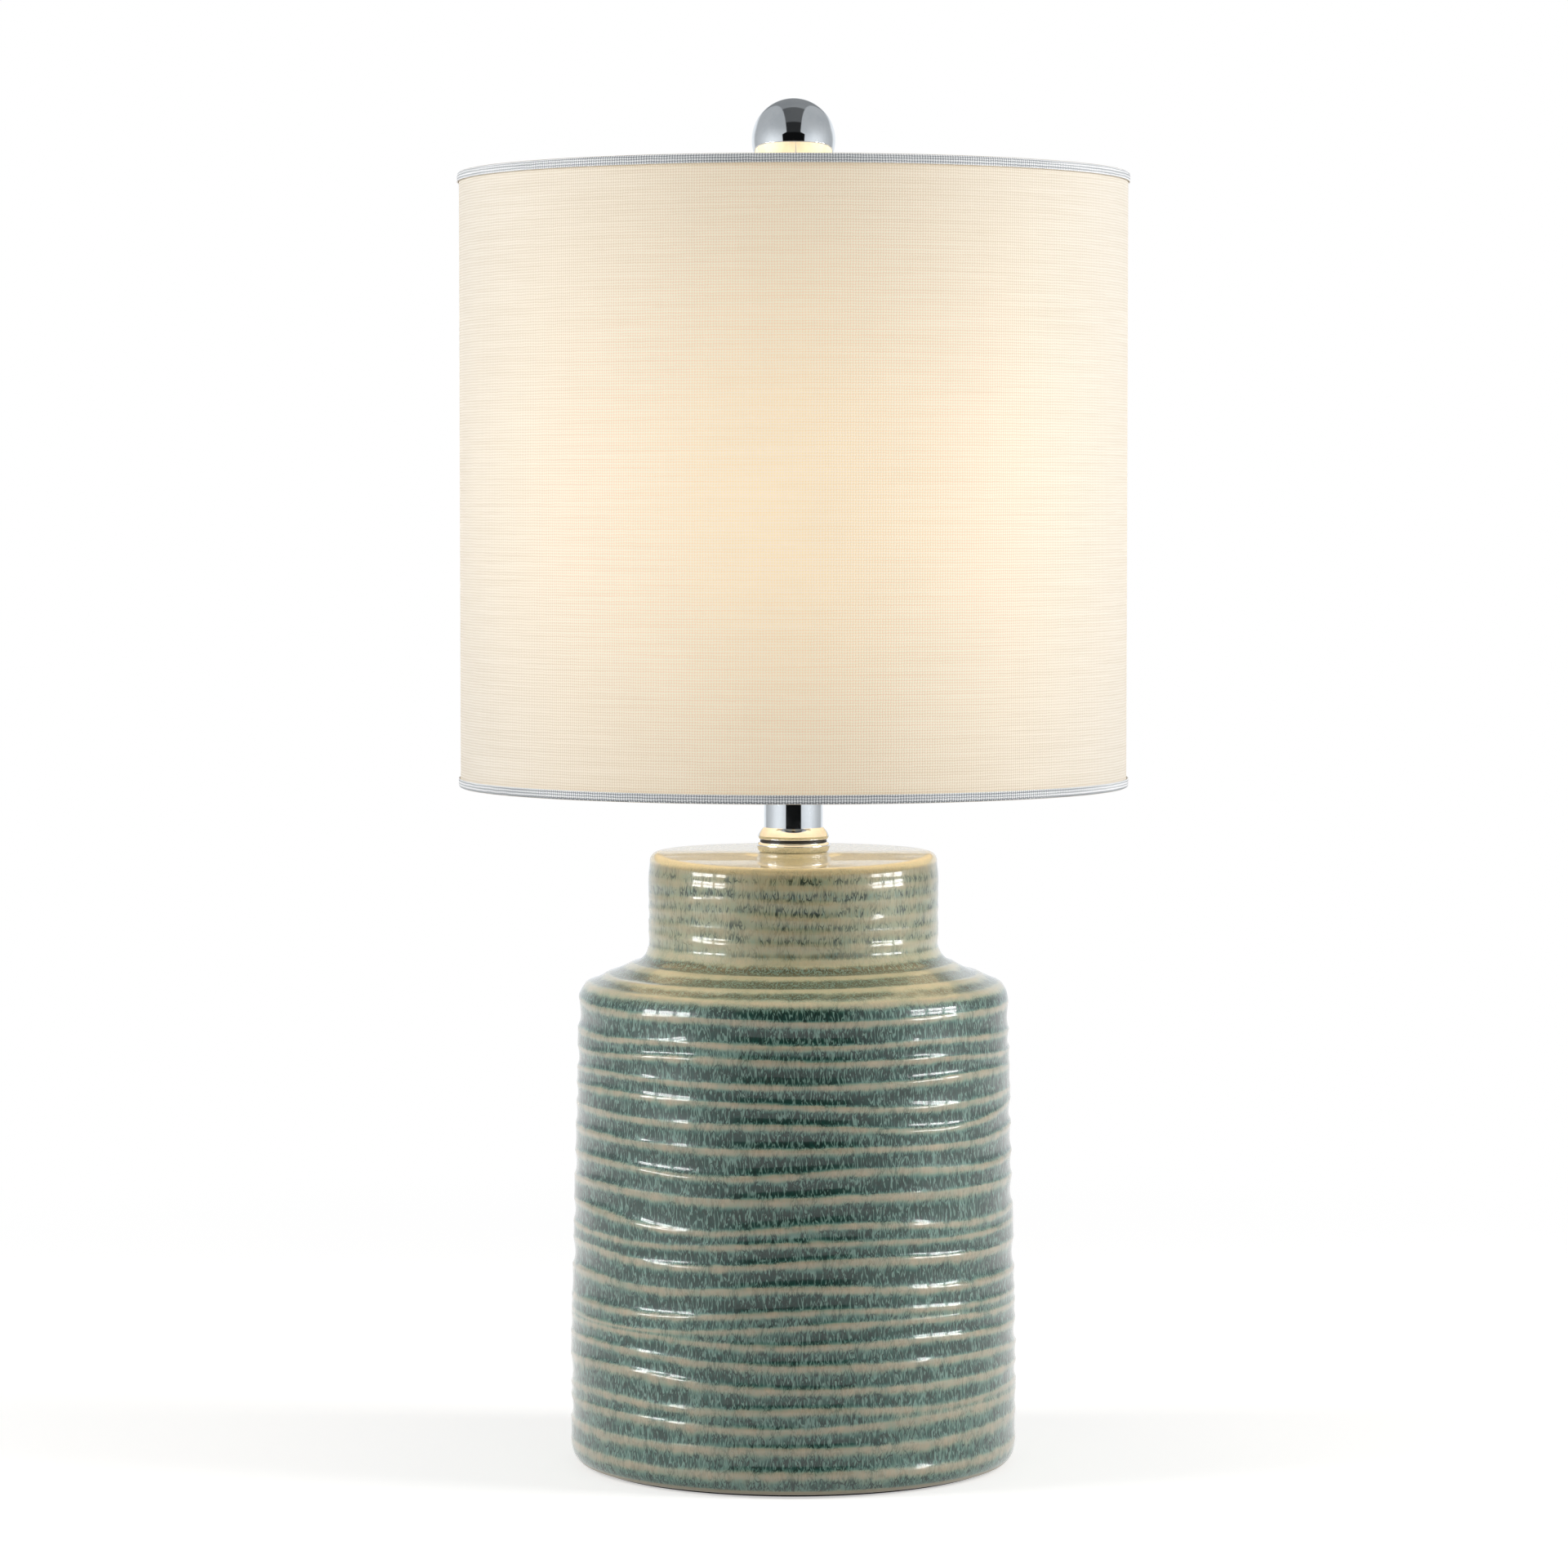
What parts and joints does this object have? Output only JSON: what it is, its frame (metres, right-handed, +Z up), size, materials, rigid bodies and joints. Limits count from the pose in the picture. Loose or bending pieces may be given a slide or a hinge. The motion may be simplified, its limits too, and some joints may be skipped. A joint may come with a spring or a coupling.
{
  "type": "table lamp",
  "caption": "Table lamp: ribbed stoneware jar with a short neck, chromed stem, drum shade on a harp, ball finial.",
  "frame": {"origin": "on the lamp's axis, in the plane it stands on", "axes": "+Z up along the lamp's axis; the harp lies in the X-Z plane; the front faces -Y and the cord leaves at +Y"},
  "size_m": [0.254, 0.254, 0.518],
  "materials": {
    "crackle_glaze": "glossy celadon crackle glaze over thrown stoneware",
    "felt": "pressed felt",
    "black_nylon": "moulded",
    "zinc_steel": "zinc plated",
    "chrome": "polished chrome plate",
    "nickel_steel": "nickel plated",
    "brass": "turned",
    "nickel_shell": "spun, nickel finish",
    "fibre": "vulcanised fibre",
    "phenolic": "moulded phenolic",
    "black_glass": "glassy insulator with a soldered tip",
    "white_plastic": "moulded",
    "frosted_globe": "frosted, lit",
    "linen": "plain weave linen, lit from inside",
    "linen_hem": "folded linen strip",
    "styrene": "translucent sheet",
    "white_wire": "powder coated wire"
  },
  "bodies": {
    "base": {"ceramic_jar": "crackle_glaze", "base_felt_pad": "felt", "cord_grommet": "black_nylon", "lamp_rod": "zinc_steel", "rod_washers": "zinc_steel", "rod_nuts": "zinc_steel", "neck_check_ring": "chrome", "neck_sleeve": "chrome", "harp_saddle": "nickel_steel", "socket_cap": "nickel_shell", "socket_shell": "nickel_shell", "socket_liner": "fibre", "socket_interior": "phenolic", "screw_shell": "brass", "centre_contact": "brass"},
    "harp": {"harp_wire": "nickel_steel", "harp_stud": "brass"},
    "ferrule_left": {"harp_ferrule_left": "nickel_steel"},
    "ferrule_right": {"harp_ferrule_right": "nickel_steel"},
    "shade_clamp": {"finial_insert": "brass"},
    "finial": {"finial_ball": "chrome"},
    "shade": {"shade_fabric": "linen", "shade_liner": "styrene", "shade_hem_top": "linen_hem", "shade_hem_bottom": "linen_hem", "shade_top_frame": "white_wire", "shade_bottom_ring": "white_wire"},
    "bulb_foot": {"bulb_contact": "black_glass"},
    "bulb": {"bulb_cap": "nickel_shell", "bulb_housing": "white_plastic", "bulb_globe": "frosted_globe"},
    "switch": {"switch_shaft": "brass", "switch_knob": "phenolic"}
  },
  "joints": [
    {"name": "harp_lift", "type": "slide", "parent": "base", "child": "harp", "axis": [0, 0, 1], "range_m": [0, 0.014]},
    {"name": "ferrule_left_lift", "type": "slide", "parent": "harp", "child": "ferrule_left", "axis": [0, 0, 1], "range_m": [0, 0.012]},
    {"name": "ferrule_right_lift", "type": "slide", "parent": "harp", "child": "ferrule_right", "axis": [0, 0, 1], "range_m": [0, 0.012]},
    {"name": "shade_lift", "type": "slide", "parent": "harp", "child": "shade_clamp", "axis": [0, 0, 1], "range_m": [0, 0.235]},
    {"name": "finial_turn", "type": "hinge", "parent": "shade_clamp", "child": "finial", "pos_m": [0, 0, 0.5], "axis": [0, 0, 1], "continuous": true},
    {"name": "shade_turn", "type": "hinge", "parent": "shade_clamp", "child": "shade", "pos_m": [0, 0, 0.4788], "axis": [0, 0, 1], "continuous": true},
    {"name": "bulb_rise", "type": "slide", "parent": "base", "child": "bulb_foot", "axis": [0, 0, 1], "range_m": [0, 0.02]},
    {"name": "bulb_turn", "type": "hinge", "parent": "bulb_foot", "child": "bulb", "pos_m": [0, 0, 0.3245], "axis": [0, 0, 1], "range_deg": [0, 1980]},
    {"name": "switch_turn", "type": "hinge", "parent": "base", "child": "switch", "pos_m": [0, -0.02, 0.3005], "axis": [0, -1, 0], "continuous": true}
  ],
  "couplings": [
    {"joint": "bulb_rise", "follows": "bulb_turn", "m_per_rad": 0.00057757}
  ]
}
